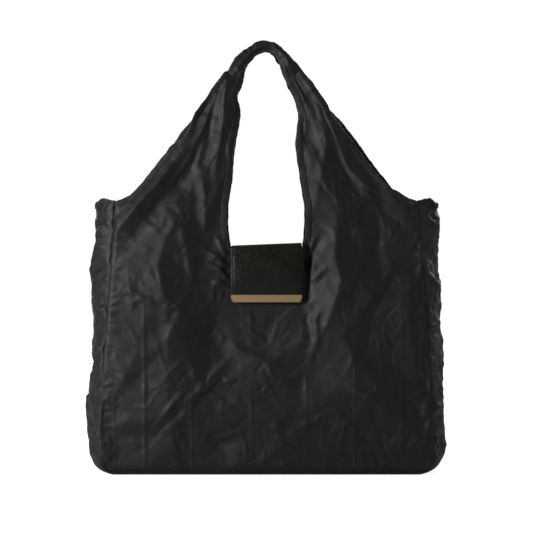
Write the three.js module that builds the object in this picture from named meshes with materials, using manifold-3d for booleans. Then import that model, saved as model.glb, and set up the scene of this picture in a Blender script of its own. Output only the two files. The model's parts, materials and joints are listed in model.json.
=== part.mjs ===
// Foldable tote bag of thin woven nylon, standing open, with the leather case that it folds into.
// Millimetres, +Z up. The origin is on the floor under the middle of the base; +X is to the right
// of someone facing the front, and the front with the leather flap faces -Y.
import * as THREE from "three";
import { mergeVertices } from "three/addons/utils/BufferGeometryUtils.js";
import Module from "manifold-3d";

const wasm = await Module();
wasm.setup();

// ---- Driving dimensions ----
const SHOULDER_Z = 341; // top hem of the side gussets
const NECK_Z = 283; // bottom of the neck opening, where the case hangs
const FOLD_Z = 400; // the line across which a handle folds outwards
const GRIP_Z = 503; // above this a strap is folded in half and sewn into a grip
const HANDLE_TOP = 547;
const NECK_TOP = 530; // underside of the grip

const SEAM_HALF = 212; // from the middle to a vertical seam, at the base
const SEAM_TAPER = 0.066; // how much the seams lean in, per mm of height
const GUSSET_BULGE = 17; // how far a gusset swells past its seams, at the base
const GUSSET_SWELL = 0.034; // and how much more per mm of height
const HALF_DEPTH = 55;
const TOP_HALF_DEPTH = 9; // of the handles' tops, where the two come together
const TAPER_FROM_Z = 100;
const PANEL_BULGE = 9;
const BULGE_TOP_Z = 230;
const CASE_FACE = 42.7; // the front face behind the case, which pulls the cloth flat there

const CORNER = { x: 24, xz: 34, y: 12, yz: 16 }; // rounding under the base: reach and height
const CLOTH = 1.2;
const BASE_EDGE_Z = 5; // where the base panel ends and the walls begin
const GAP = 0.3; // between pieces that touch
const BINDING = 6; // width of the folded tape on each cut edge
const TAPE = { width: 7.5, inset: 1.5, thick: 1 }; // bound seam allowance inside the bag
const LABEL = { half: 14, lowZ: 170, highZ: 212, thick: 0.6, fromSeam: 27 };

const CASE = { half: 44, height: 61, wall: 1.4, frontY: 3.6, backY: 11.2, corner: 6 };
const FLAP = { half: 44, drop: 65, leather: 1.6, lining: 0.7, faceY: -7, topZ: 3.5, bend: 5 };
const FLAP_PIVOT = { y: 12.3, z: 2.7 };
const BAR = { half: 44, height: 9, plate: 2.1, lip: 1.2, lipHeight: 6.5, web: 1.4, cut: 2.5 };
const MAGNET = { r: 6, thick: 1.3, flapZ: -52, pocketZ: -29 };

const LOOP = { z: -44, x: -48, y: 8.2, half: 6.4, reach: 9.6, wire: 0.95, angle: 45 };
const BOSS = { r: 2.4, length: 2.6, bore: 1.3 };
const RING = { length: 36, width: 21.4, bar: 3.4, thick: 3.4, corner: 6 };
const RIVET = { shaft: 1.0, head: 1.9, headLength: 1.6 };
const GATE = { length: 18, ear: 4.2, tongue: 1.8, pin: 0.6, pinHole: 0.9 };

const root = new THREE.Group();

// ---- Solids ----
function solidOf(geometry) {
  const bare = geometry.index ? geometry.toNonIndexed() : geometry.clone();
  bare.deleteAttribute("normal");
  bare.deleteAttribute("uv");
  const merged = mergeVertices(bare, 1e-4);
  return new wasm.Manifold(
    new wasm.Mesh({
      numProp: 3,
      vertProperties: merged.attributes.position.array,
      triVerts: new Uint32Array(merged.index.array),
    }),
  );
}

function geometryOf(solid) {
  const made = solid.getMesh();
  const positions = new Float32Array(made.numVert * 3);
  for (let i = 0; i < made.numVert; i++) {
    positions.set(made.vertProperties.subarray(i * made.numProp, i * made.numProp + 3), i * 3);
  }
  const geometry = new THREE.BufferGeometry();
  geometry.setAttribute("position", new THREE.BufferAttribute(positions, 3));
  geometry.setIndex(new THREE.BufferAttribute(made.triVerts, 1));
  return geometry;
}

function box(low, high) {
  const size = high.map((h, k) => h - low[k]);
  const geometry = new THREE.BoxGeometry(...size);
  geometry.translate(...low.map((l, k) => l + size[k] / 2));
  return solidOf(geometry);
}

// A prism along Y, from an outline of [x, z] points.
function prismY(outline, yLow, yHigh) {
  const shape = new THREE.Shape(outline.map(([x, z]) => new THREE.Vector2(x, z)));
  const geometry = new THREE.ExtrudeGeometry(shape, { depth: yHigh - yLow, bevelEnabled: false });
  geometry.rotateX(Math.PI / 2);
  geometry.translate(0, yHigh, 0);
  return solidOf(geometry);
}

// A prism along X, from an outline of [y, z] points.
function prismX(outline, xLow, xHigh) {
  const shape = new THREE.Shape(outline.map(([y, z]) => new THREE.Vector2(y, z)));
  const geometry = new THREE.ExtrudeGeometry(shape, { depth: xHigh - xLow, bevelEnabled: false });
  geometry.applyMatrix4(
    new THREE.Matrix4().set(0, 0, 1, xLow, 1, 0, 0, 0, 0, 1, 0, 0, 0, 0, 0, 1),
  );
  return solidOf(geometry);
}

function cylinder(r, length, axis, centre, sides = 24) {
  const geometry = new THREE.CylinderGeometry(r, r, length, sides);
  if (axis === "x") geometry.rotateZ(Math.PI / 2);
  if (axis === "z") geometry.rotateX(Math.PI / 2);
  geometry.translate(...centre);
  return solidOf(geometry);
}

function roundedRectangle(halfX, lowZ, highZ, r, steps = 5) {
  const corners = [
    [halfX - r, highZ - r, 0],
    [-halfX + r, highZ - r, 1],
    [-halfX + r, lowZ + r, 2],
    [halfX - r, lowZ + r, 3],
  ];
  return corners.flatMap(([x, z, quarter]) =>
    Array.from({ length: steps + 1 }, (_, i) => {
      const a = ((quarter + i / steps) * Math.PI) / 2;
      return [x + r * Math.cos(a), z + r * Math.sin(a)];
    }),
  );
}

// ---- Materials ----
function material(color, roughness, metalness) {
  return new THREE.MeshStandardMaterial({ color, roughness, metalness });
}
const nylon = material(0x2a2a29, 0.5, 0);
const tapeCloth = material(0x1d1d1c, 0.7, 0);
const leather = material(0x22231f, 0.45, 0);
const liningCloth = material(0x1b1b1a, 0.8, 0);
const gold = material(0xb8946a, 0.3, 1);
const steel = material(0xb5b5b2, 0.3, 1);
const labelCloth = material(0xd8d6d0, 0.9, 0);

function add(parent, name, solid, look) {
  const mesh = new THREE.Mesh(geometryOf(solid), look);
  mesh.name = name;
  parent.add(mesh);
  return mesh;
}

// ---- The bag's form: one lofted tub, from which every cloth piece is cut ----
const clamp01 = (t) => Math.min(1, Math.max(0, t));
const smooth = (t) => clamp01(t) ** 2 * (3 - 2 * clamp01(t));
const rounding = (reach, height, z) =>
  z >= height ? 0 : reach * (1 - Math.sqrt(1 - (1 - clamp01(z / height)) ** 2));

const seamX = (z) => SEAM_HALF - SEAM_TAPER * z - rounding(CORNER.x, CORNER.xz, z);
const gussetBulge = (z) => GUSSET_BULGE + GUSSET_SWELL * z;

function halfDepth(z) {
  const t = clamp01((z - TAPER_FROM_Z) / (HANDLE_TOP - TAPER_FROM_Z));
  const taper = (HALF_DEPTH - TOP_HALF_DEPTH) * t ** 1.5;
  return HALF_DEPTH - taper - rounding(CORNER.y, CORNER.yz, z);
}

// Distance from the middle plane to a front or back face.
function faceY(x, z, isFront) {
  const across = x / seamX(z);
  const swell = z < BULGE_TOP_Z ? Math.sin((Math.PI * z) / BULGE_TOP_Z) : 0;
  const free = halfDepth(z) + PANEL_BULGE * (1 - across * across) * swell;
  if (!isFront || z > NECK_Z) return free;
  const pulled = smooth((z - 120) / 85) * smooth((115 - Math.abs(x)) / 65);
  return free + (CASE_FACE - free) * pulled;
}

const FACE_STEPS = 22;
const GUSSET_STEPS = 8;

// One ring of the tub at height z, moved outwards by grow (inwards if negative).
function ring(z, grow) {
  const shapeZ = Math.max(0, z + Math.min(0, grow));
  const half = seamX(shapeZ) + 0.6 * grow;
  const depth = halfDepth(shapeZ);
  const points = [];
  const face = (isFront, sign) => {
    for (let i = 0; i < FACE_STEPS; i++) {
      const across = sign * (-1 + (2 * i) / FACE_STEPS);
      const y = faceY(across * seamX(shapeZ), shapeZ, isFront) + grow;
      points.push([across * half, isFront ? -y : y, z]);
    }
  };
  const gusset = (sign) => {
    for (let i = 0; i < GUSSET_STEPS; i++) {
      const v = sign * (-1 + (2 * i) / GUSSET_STEPS);
      const out = half + gussetBulge(shapeZ) * (1 - v * v) + 0.4 * grow * (1 - v * v);
      points.push([sign * out, v * (depth + grow), z]);
    }
  };
  face(true, 1);
  gusset(1);
  face(false, -1);
  gusset(-1);
  return points;
}

const BODY_LEVELS = [2, 5, 9, 16, 25, 34, 60, 90, 120, 150, 175, 200, 215, 230, 250, 268, 283];
const UPPER_LEVELS = [300, 320, 341, 370, 400, 430, 465, 500, 525, 550];

function tub(grow, floorZ, topZ) {
  const levels = [floorZ, ...BODY_LEVELS.filter((z) => z > floorZ + 0.5), ...UPPER_LEVELS, topZ];
  const rings = levels.map((z) => ring(z, grow));
  const count = rings[0].length;
  const positions = [...rings.flat(), [0, 0, floorZ], [0, 0, topZ]].flat();
  const index = [];
  for (let k = 0; k + 1 < rings.length; k++) {
    for (let i = 0; i < count; i++) {
      const a = k * count + i;
      const b = k * count + ((i + 1) % count);
      index.push(a, b, b + count, a, b + count, a + count);
    }
  }
  const low = rings.length * count;
  for (let i = 0; i < count; i++) {
    const next = (i + 1) % count;
    index.push(low, next, i);
    index.push(low + 1, low - count + i, low - count + next);
  }
  const geometry = new THREE.BufferGeometry();
  geometry.setAttribute("position", new THREE.Float32BufferAttribute(positions, 3));
  geometry.setIndex(index);
  return solidOf(geometry);
}

// The wall between two offsets of the tub.
function wall(outer, inner) {
  const floorZ = Math.max(0, -outer);
  return tub(outer, floorZ, 560).subtract(tub(inner, -inner, 565));
}
const cloth = wall(0, -CLOTH);
const bindingWall = wall(0.5, -CLOTH - 0.5);
const gripWall = wall(2.6, -CLOTH - 2.6);
const tapeWall = wall(-CLOTH - GAP, -CLOTH - GAP - TAPE.thick);

// ---- Outlines in the XZ plane ----
const curve = (points, count) =>
  new THREE.SplineCurve(points.map(([x, z]) => new THREE.Vector2(x, z)))
    .getSpacedPoints(count)
    .map((p) => [p.x, p.y]);

const outerEdge = curve(
  [
    [seamX(SHOULDER_Z) - 0.2, SHOULDER_Z],
    [167, 352],
    [137, 388],
    [100, 434],
    [50, 504],
    [20, 539],
    [0, HANDLE_TOP],
  ],
  26,
);
const neckEdge = curve(
  [
    [0, NECK_Z],
    [24, NECK_Z],
    [45, NECK_Z + 0.2],
    [51, NECK_Z + 7],
    [52, 303],
    [50, 336],
    [45, 372],
    [40, 418],
    [37, 470],
    [28, 500],
    [14, 522],
    [0, NECK_TOP],
  ],
  34,
);

// An edge moved sideways, to its left if distance is positive.
function moved(edge, distance) {
  return edge.map(([x, z], i) => {
    const [ax, az] = edge[Math.max(0, i - 1)];
    const [bx, bz] = edge[Math.min(edge.length - 1, i + 1)];
    const length = Math.hypot(bx - ax, bz - az);
    const onAxis = Math.abs(x) < 1e-6;
    const nx = onAxis ? 0 : -(bz - az) / length;
    const nz = onAxis ? Math.sign(bx - ax) : (bx - ax) / length;
    return [x + nx * distance, z + nz * distance];
  });
}
const mirrored = (edge) => edge.map(([x, z]) => [-x, z]).reverse();
const withoutEnds = (edge) => edge.slice(1, -1);

const seamHeights = [BASE_EDGE_Z, 9, 16, 25, 34, SHOULDER_Z];

// The whole face, with its upper edge brought in by inset.
function faceOutline(inset) {
  const seam = seamHeights.map((z) => [seamX(z) - 0.2, z + (z === BASE_EDGE_Z ? GAP : 0)]);
  const upper = moved(outerEdge, inset).slice(1);
  const right = [...seam, ...upper];
  return [...right, ...mirrored(right).slice(1)];
}

// The neck opening, widened by outset.
function neckOutline(outset) {
  const right = moved(neckEdge, -outset);
  return [...right, ...mirrored(withoutEnds(right))];
}

const DEEP = 90;
const facePrism = (inset) => prismY(faceOutline(inset), -DEEP, DEEP);
const neckPrism = (outset) => prismY(neckOutline(outset), -DEEP, DEEP);

const inner = facePrism(BINDING + GAP).subtract(neckPrism(BINDING + GAP));
const neckBand = neckPrism(BINDING).subtract(neckPrism(0));
const outerBand = facePrism(0).subtract(facePrism(BINDING));
const wholeArch = facePrism(0).subtract(neckPrism(0));

const WIDE = 300;
const between = (zLow, zHigh) => box([-WIDE, -DEEP, zLow], [WIDE, DEEP, zHigh]);
const halves = {
  front: box([-WIDE, -DEEP, -1], [WIDE, -0.2, 600]),
  back: box([-WIDE, 0.2, -1], [WIDE, DEEP, 600]),
  left: box([-WIDE, -DEEP, -1], [-1, DEEP, 600]),
  right: box([1, -DEEP, -1], [WIDE, DEEP, 600]),
};
const lowerZone = between(BASE_EDGE_Z, FOLD_Z - GAP / 2);
const shoulderZone = between(SHOULDER_Z - 1, FOLD_Z - GAP / 2);
const strapZone = between(FOLD_Z + GAP / 2, GRIP_Z - GAP / 2);
const gripZone = between(GRIP_Z + GAP / 2, 600);

// ---- Cloth panels ----
// One face: its panel below the fold line, and the handle above it.
function addFace(face) {
  const half = halves[face];
  const mine = (wallSolid, ...cuts) => cuts.reduce((s, cut) => s.intersect(cut), wallSolid.intersect(half));
  add(root, `${face}_panel`, mine(cloth, inner, lowerZone), nylon);
  add(root, `${face}_neck_binding`, mine(bindingWall, neckBand, lowerZone), tapeCloth);
  add(root, `${face}_grip`, mine(gripWall, wholeArch, gripZone), nylon);
  for (const side of ["left", "right"]) {
    const name = (piece) => `${face}_${side}_${piece}`;
    const cut = halves[side];
    add(root, name("shoulder_binding"), mine(bindingWall, outerBand, shoulderZone, cut), tapeCloth);
    add(root, name("strap"), mine(cloth, inner, strapZone, cut), nylon);
    add(root, name("strap_inner_binding"), mine(bindingWall, neckBand, strapZone, cut), tapeCloth);
    add(root, name("strap_outer_binding"), mine(bindingWall, outerBand, strapZone, cut), tapeCloth);
  }
}

// The region outside the vertical seam on one side, between two heights.
function sideRegion(sign, zLow, zHigh) {
  const heights = [zLow, ...seamHeights.filter((z) => z > zLow && z < zHigh), zHigh];
  const edge = heights.map((z) => [sign * (seamX(z) + 0.1), z]);
  return prismY([...edge, [sign * WIDE, zHigh], [sign * WIDE, zLow]], -DEEP, DEEP);
}

function addGusset(side, sign) {
  const hemZ = SHOULDER_Z - BINDING;
  const panel = cloth.intersect(sideRegion(sign, BASE_EDGE_Z + GAP, hemZ - GAP));
  const hem = bindingWall.intersect(sideRegion(sign, hemZ, SHOULDER_Z));
  add(root, `${side}_gusset`, panel, nylon);
  add(root, `${side}_gusset_hem`, hem, tapeCloth);
}

// Bound seam allowances on the inside: one along each upright seam and each long base seam.
function addSeamTapes(face) {
  const heights = [28, 34, SHOULDER_Z - BINDING - 2];
  for (const [side, sign] of [["left", -1], ["right", 1]]) {
    const edge = (inset) => heights.map((z) => [sign * (seamX(z) - inset), z]);
    const band = [...edge(TAPE.inset), ...edge(TAPE.inset + TAPE.width).reverse()];
    const strip = tapeWall.intersect(prismY(band, -DEEP, DEEP)).intersect(halves[face]);
    add(root, `${face}_${side}_seam_tape`, strip, tapeCloth);
  }
  const low = box([-175, -DEEP, BASE_EDGE_Z + 2], [175, DEEP, BASE_EDGE_Z + 2 + TAPE.width]);
  add(root, `${face}_base_seam_tape`, tapeWall.intersect(low).intersect(halves[face]), tapeCloth);
}

// A blank cloth label beside the left back seam.
function addLabel() {
  const { half, lowZ, highZ, thick, fromSeam } = LABEL;
  const x = -(seamX(lowZ) - fromSeam);
  const nearest = Math.min(faceY(x - half, highZ, false), faceY(x + half, lowZ, false));
  const y = nearest - CLOTH - GAP;
  add(root, "care_label", box([x - half, y - thick, lowZ], [x + half, y, highZ]), labelCloth);
}

for (const face of ["front", "back"]) {
  addFace(face);
  addSeamTapes(face);
}
addGusset("left", -1);
addGusset("right", 1);
add(root, "base_panel", cloth.intersect(between(-1, BASE_EDGE_Z)), nylon);
addLabel();

// ---- Leather case, in a frame whose origin is the middle of the neck's front hem ----
const caseFrame = new THREE.Group();
caseFrame.position.set(0, -CASE_FACE + CLOTH / 2, NECK_Z);
root.add(caseFrame);

function addPocket() {
  const { half, height, wall: thick, frontY, backY, corner } = CASE;
  const innerLow = frontY + thick + GAP;
  const innerHigh = backY - GAP;
  const outline = (inset, top) =>
    roundedRectangle(half - inset, -height + inset, top, Math.max(1, corner - inset));
  const cutTop = (solid, top) => solid.intersect(box([-90, -90, -90], [90, 90, top]));
  const plate = (y, top) => cutTop(prismY(outline(0, top + corner), y, y + thick), top);
  add(caseFrame, "pocket_front", plate(frontY, -1.5), leather);
  add(caseFrame, "pocket_back", plate(backY, 1.2), leather);
  const strip = prismY(outline(0, corner), innerLow, innerHigh);
  const hollow = prismY(outline(1.2, corner + 5), innerLow - 1, innerHigh + 1);
  add(caseFrame, "pocket_gusset", cutTop(strip.subtract(hollow), -2), leather);
  const magnetY = frontY - GAP - MAGNET.thick / 2;
  const magnet = cylinder(MAGNET.r, MAGNET.thick, "y", [0, magnetY, MAGNET.pocketZ]);
  add(caseFrame, "pocket_magnet", magnet, steel);
}

// The side view of a strap that runs back over the hem and hangs down in front.
function flapProfile(faceOut, thick, top, drop, rearY, bend, roundRear) {
  const arc = (r) =>
    Array.from({ length: 7 }, (_, i) => {
      const a = ((1 + i / 6) * Math.PI) / 2;
      return [faceOut + bend + r * Math.cos(a), top - bend + r * Math.sin(a)];
    });
  const rear = roundRear
    ? [-60, -30, 0, 30, 60].map((deg) => {
        const a = (deg * Math.PI) / 180;
        return [rearY + (thick / 2) * Math.cos(a), top - thick / 2 + (thick / 2) * Math.sin(a)];
      })
    : [];
  return [
    [faceOut, -drop],
    [faceOut + thick, -drop],
    ...arc(bend - thick).reverse(),
    [rearY, top - thick],
    ...rear,
    [rearY, top],
    ...arc(bend),
  ];
}

function addFlap() {
  const { half, drop, leather: thick, lining, faceY: out, topZ, bend } = FLAP;
  const outer = flapProfile(out, thick, topZ, drop, FLAP_PIVOT.y, bend, true);
  add(caseFrame, "flap_leather", prismX(outer, -half, half), leather);
  const liningOut = out + thick + GAP;
  const liningBend = bend - thick - GAP;
  const under = flapProfile(liningOut, lining, topZ - thick - GAP, drop, 9, liningBend, false);
  add(caseFrame, "flap_lining", prismX(under, -half + 1.5, half - 1.5), liningCloth);

  const liningIn = liningOut + lining;
  const magnetY = liningIn + GAP + MAGNET.thick / 2;
  const magnet = cylinder(MAGNET.r, MAGNET.thick, "y", [0, magnetY, MAGNET.flapZ]);
  add(caseFrame, "flap_magnet", magnet, steel);

  const low = -drop - GAP - BAR.web;
  const frontY = out - GAP - BAR.plate;
  const rearY = liningIn + GAP + BAR.lip;
  const face = [
    [-BAR.half + BAR.cut, low],
    [BAR.half - BAR.cut, low],
    [BAR.half, low + 2 * BAR.cut],
    [BAR.half, low + BAR.height],
    [-BAR.half, low + BAR.height],
    [-BAR.half, low + 2 * BAR.cut],
  ];
  const slot = box([-60, out - GAP, -drop - GAP], [60, liningIn + GAP, 0]);
  const behind = box([-60, liningIn, low + BAR.lipHeight], [60, rearY + 5, 0]);
  const bar = prismY(face, frontY, rearY).subtract(slot).subtract(behind);
  add(caseFrame, "trim_bar", bar, gold);
}

// The leather tab on the pocket's left side, which holds the clasp's loop.
function addTab() {
  const r = 2.5;
  const shape = new THREE.Shape();
  shape.moveTo(-CASE.half - GAP, LOOP.y - r);
  shape.lineTo(-CASE.half - GAP, LOOP.y + r);
  shape.lineTo(LOOP.x, LOOP.y + r);
  shape.absarc(LOOP.x, LOOP.y, r, Math.PI / 2, (3 * Math.PI) / 2, false);
  const hole = new THREE.Path();
  hole.absarc(LOOP.x, LOOP.y, LOOP.wire + 0.4, 0, 2 * Math.PI, true);
  shape.holes.push(hole);
  const tab = new THREE.ExtrudeGeometry(shape, { depth: 8.4, bevelEnabled: false, curveSegments: 8 });
  tab.translate(0, 0, LOOP.z - 4.2);
  add(caseFrame, "ring_tab", solidOf(tab), leather);
}

// ---- Swivel clasp, in a frame on the loop's upright bar: +X points along the clasp ----
const claspFrame = new THREE.Group();
claspFrame.position.set(LOOP.x, LOOP.y, LOOP.z);
claspFrame.rotation.z = Math.PI - (LOOP.angle * Math.PI) / 180;
caseFrame.add(claspFrame);

function addLoop() {
  const { half, reach, wire } = LOOP;
  const bowPoints = Array.from({ length: 9 }, (_, i) => {
    const a = (i / 8 - 0.5) * Math.PI;
    return new THREE.Vector3(reach * Math.cos(a), 0, half * Math.sin(a));
  });
  const section = new THREE.Shape();
  section.absarc(0, 0, wire, 0, 2 * Math.PI, false);
  const bow = new THREE.ExtrudeGeometry(section, {
    steps: 24,
    curveSegments: 5,
    extrudePath: new THREE.CatmullRomCurve3(bowPoints),
  });
  const upright = cylinder(wire, 2 * (half + wire), "z", [0, 0, 0], 12);
  const boss = cylinder(BOSS.r, BOSS.length, "x", [reach, 0, 0], 20);
  const bore = cylinder(BOSS.bore, BOSS.length + 2, "x", [reach, 0, 0], 20);
  add(claspFrame, "clasp_loop", solidOf(bow).add(upright).add(boss).subtract(bore), gold);
}

const RING_START = LOOP.reach + BOSS.length / 2 + GAP;
const RING_MID = RING_START + RING.length / 2;
const GATE_Z = -RING.width / 2 + RING.bar / 2;
const GATE_START = RING_MID - GATE.length / 2; // pivot end
const PIVOT_X = GATE_START + GATE.ear / 2;

function addRing() {
  const { length, width, bar, thick, corner } = RING;
  const outline = (inset) =>
    roundedRectangle(length / 2 - inset, -width / 2 + inset, width / 2 - inset, corner - inset, 6).map(
      ([x, z]) => [x + RING_MID, z],
    );
  const full = prismY(outline(0), -thick / 2, thick / 2);
  const window = prismY(outline(bar), -thick, thick);
  const low = -width / 2 - 1;
  const gap = box([GATE_START, -thick, low], [GATE_START + GATE.length, thick, low + bar + 1.5]);
  const ears = box(
    [GATE_START - 0.5, -thick / 2, GATE_Z - bar / 2],
    [PIVOT_X, thick / 2, GATE_Z + bar / 2],
  ).add(cylinder(bar / 2, thick, "y", [PIVOT_X, 0, GATE_Z]));
  const slotHalf = GATE.tongue / 2 + GAP;
  const slot = box(
    [GATE_START - 1.6, -slotHalf, low],
    [GATE_START + GATE.ear + 1, slotHalf, GATE_Z + bar / 2 + 1],
  );
  const pinHole = cylinder(GATE.pinHole, thick + 2, "y", [PIVOT_X, 0, GATE_Z], 16);
  const rivetHole = cylinder(BOSS.bore, bar + 4, "x", [RING_START + bar / 2, 0, 0], 20);
  const frame = full.subtract(window).subtract(gap).add(ears);
  add(claspFrame, "clasp_frame", frame.subtract(slot).subtract(pinHole).subtract(rivetHole), gold);

  const headIn = LOOP.reach - BOSS.length / 2 - GAP - RIVET.headLength;
  const headOut = RING_START + bar + GAP;
  const shaftEnd = headOut + RIVET.headLength;
  const shaft = cylinder(RIVET.shaft, shaftEnd - headIn, "x", [(shaftEnd + headIn) / 2, 0, 0], 20);
  const head = (x) =>
    cylinder(RIVET.head, RIVET.headLength, "x", [x + RIVET.headLength / 2, 0, 0], 20);
  add(claspFrame, "swivel_rivet", shaft.add(head(headIn)).add(head(headOut)), gold);

  add(claspFrame, "gate_pin", cylinder(GATE.pin, thick, "y", [PIVOT_X, 0, GATE_Z], 16), gold);
}

function addGate() {
  const { thick, bar } = RING;
  const high = bar / 2 - 0.1;
  const arm = box(
    [GATE_START + GATE.ear + GAP, -thick / 2 + 0.1, GATE_Z - high],
    [GATE_START + GATE.length - GAP, thick / 2 - 0.1, GATE_Z + high],
  );
  const tongueR = 1.5;
  const tongue = box(
    [PIVOT_X, -GATE.tongue / 2, GATE_Z - tongueR],
    [GATE_START + GATE.ear + 2, GATE.tongue / 2, GATE_Z + tongueR],
  ).add(cylinder(tongueR, GATE.tongue, "y", [PIVOT_X, 0, GATE_Z], 20));
  const hole = cylinder(GATE.pinHole, thick, "y", [PIVOT_X, 0, GATE_Z], 16);
  add(claspFrame, "clasp_gate", arm.add(tongue).subtract(hole), gold);
}

addPocket();
addFlap();
addTab();
addLoop();
addRing();
addGate();

export default root;
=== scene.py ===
"""The looks of a foldable nylon tote bag that stands open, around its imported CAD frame.

Shapes are in millimetres, x to the right and z up, and the front faces -Y. A fold's height is
measured from the cloth's plain form. Finished meshes, lights and the camera are in metres.
"""
import json
import math

import bpy
import bmesh
import numpy as np
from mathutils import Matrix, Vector


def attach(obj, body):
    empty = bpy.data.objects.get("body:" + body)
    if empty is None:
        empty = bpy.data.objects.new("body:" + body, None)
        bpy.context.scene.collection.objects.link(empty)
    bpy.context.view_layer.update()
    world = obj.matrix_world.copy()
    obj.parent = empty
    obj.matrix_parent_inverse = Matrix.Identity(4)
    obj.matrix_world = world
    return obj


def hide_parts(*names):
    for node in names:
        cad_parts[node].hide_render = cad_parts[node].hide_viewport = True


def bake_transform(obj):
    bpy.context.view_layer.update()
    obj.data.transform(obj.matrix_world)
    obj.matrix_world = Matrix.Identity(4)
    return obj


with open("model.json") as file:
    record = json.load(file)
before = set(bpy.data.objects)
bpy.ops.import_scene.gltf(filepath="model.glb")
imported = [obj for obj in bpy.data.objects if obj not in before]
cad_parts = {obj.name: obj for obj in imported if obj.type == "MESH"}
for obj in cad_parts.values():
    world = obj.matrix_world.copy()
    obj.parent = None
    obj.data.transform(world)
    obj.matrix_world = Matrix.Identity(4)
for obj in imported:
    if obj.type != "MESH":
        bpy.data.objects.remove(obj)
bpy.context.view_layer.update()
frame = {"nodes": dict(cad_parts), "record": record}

MM = 0.001  # in metres

# ---- The bag's plain form, the same as the frame's ----
SHOULDER_Z, NECK_Z, FOLD_Z, GRIP_Z = 341.0, 283.0, 400.0, 503.0
HANDLE_TOP = 547.0
SEAM_HALF, SEAM_TAPER = 212.0, 0.066
GUSSET_BULGE, GUSSET_SWELL = 17.0, 0.034
HALF_DEPTH, TOP_HALF_DEPTH, TAPER_FROM_Z = 55.0, 9.0, 100.0
PANEL_BULGE, BULGE_TOP_Z, CASE_FACE = 5.0, 230.0, 42.7
CORNER_X, CORNER_XZ, CORNER_Y, CORNER_YZ = 24.0, 34.0, 12.0, 16.0
BASE_EDGE_Z = 5.0
CLOTH = 0.45  # thickness
CLOTH_STEP = {"front": 1.95, "back": 2.4}  # grid of a face's mesh

# Outer edge from the shoulder over the strap, and the neck's edge, as (distance from the middle, z).
OUTER_EDGE = {
    -1: [(198, 341.5), (189.3, 341), (167, 352), (137, 388), (114, 420), (95, 446), (76, 471), (64, 490),
         (54, 503), (46, 514), (36, 527)],
    1: [(198, 341.5), (189.3, 341), (167, 352), (136, 388), (112, 420), (92, 446), (71, 471), (58, 490),
        (47, 503), (40, 514), (30, 527)],
}
NECK_EDGE = {
    -1: [(47, 283), (48, 290), (50, 306), (50, 338), (45.5, 369), (43, 395), (40, 420), (35.5, 444),
         (34.5, 459), (38, 477), (32, 490), (29, 503), (25, 514), (14, 527)],
    1: [(47, 283), (48, 290), (49.5, 306), (49.5, 338), (44.5, 369), (40.5, 395), (38, 420), (41.5, 452),
        (36.5, 472), (28.5, 490), (24, 503), (20, 514), (11, 527)],
}
# Between two heights the front handle's outer edge is drawn in, so that the back one, let out there,
# shows beside it: (from z, to z, distance).
DRAWN_IN = {-1: (410, 456, 9.0), 1: (350, 470, 8.0)}
LET_OUT = 4.0
# Middle line of a grip's tube: (x, z, half width).
GRIP_LINE = [(-47, 486, 12.5), (-42.5, 496.5, 12), (-38.2, 506.5, 10.6), (-32.6, 517.5, 9),
             (-25.5, 525.5, 7.8), (-15, 534.4, 6.9), (-3, 539.4, 6.3), (8.8, 536.2, 6.3), (19, 526.5, 6.9),
             (27.5, 514.5, 9.4), (33.5, 503, 11.6), (39, 491, 12)]


def clamp01(t):
    return np.clip(t, 0.0, 1.0)


def ease(value, start, end):
    """0 up to start, 1 past end, and smooth between. start may be above end."""
    t = clamp01((value - start) / (end - start))
    return t * t * (3 - 2 * t)


def rounding(reach, height, z):
    """How far a rounded lower corner has drawn in at a height: reach at the bottom, none from height up."""
    below = 1 - clamp01(z / height)
    return reach * (1 - np.sqrt(1 - below**2))


def seam_x(z):
    return SEAM_HALF - SEAM_TAPER * z - rounding(CORNER_X, CORNER_XZ, z)


def gusset_bulge(z):
    return GUSSET_BULGE + GUSSET_SWELL * z


def half_depth(z):
    t = clamp01((z - TAPER_FROM_Z) / (HANDLE_TOP - TAPER_FROM_Z))
    return HALF_DEPTH - (HALF_DEPTH - TOP_HALF_DEPTH) * t**1.5 - rounding(CORNER_Y, CORNER_YZ, z)


def face_depth(x, z, is_front):
    """How far a plain face stands from the middle plane."""
    across = x / seam_x(z)
    swell = np.where(z < BULGE_TOP_Z, np.sin(np.pi * z / BULGE_TOP_Z), 0.0)
    free = half_depth(z) + PANEL_BULGE * (1 - across**2) * swell
    if not is_front:
        return free
    # The case draws the front in around itself.
    pulled = ease(z, 60, 210) * ease(np.abs(x), 115, 50) * ease(z, 330, NECK_Z)
    return free + (CASE_FACE - free) * pulled


def spline(points):
    """A smooth curve through the points, as an array of about 400 samples."""
    p = np.array(points, float)
    p = np.vstack([2 * p[0] - p[1], p, 2 * p[-1] - p[-2]])
    out = []
    for k in range(1, len(p) - 2):
        a, b, c, d = p[k - 1], p[k], p[k + 1], p[k + 2]
        t = np.linspace(0, 1, 400 // (len(p) - 3), endpoint=False)[:, None]
        out.append(0.5 * (2 * b + (c - a) * t + (2 * a - 5 * b + 4 * c - d) * t**2
                          + (3 * b - a - 3 * c + d) * t**3))
    return np.vstack(out + [p[-2:-1]])


NECK_CURVE = {side: spline(points) for side, points in NECK_EDGE.items()}
OUTER_CURVE = {side: spline(points) for side, points in OUTER_EDGE.items()}


def wave(t, seed, size):
    """A smooth random line: a few sines with seeded phases, about plus or minus size."""
    rng = np.random.default_rng(seed)
    total = 0.0
    for length in (90.0, 47.0, 23.0, 12.0):
        total = total + math.sqrt(length / 90.0) * np.sin(2 * np.pi * (t / length + rng.random()))
    return size * total / 2.0


def neck_x(z, side):
    """How far the neck's edge is from the middle."""
    curve = NECK_CURVE[side]
    return np.interp(z, curve[:, 1], curve[:, 0]) + wave(z, 16 + side, 0.4) * ease(z, 292, 312)


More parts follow.
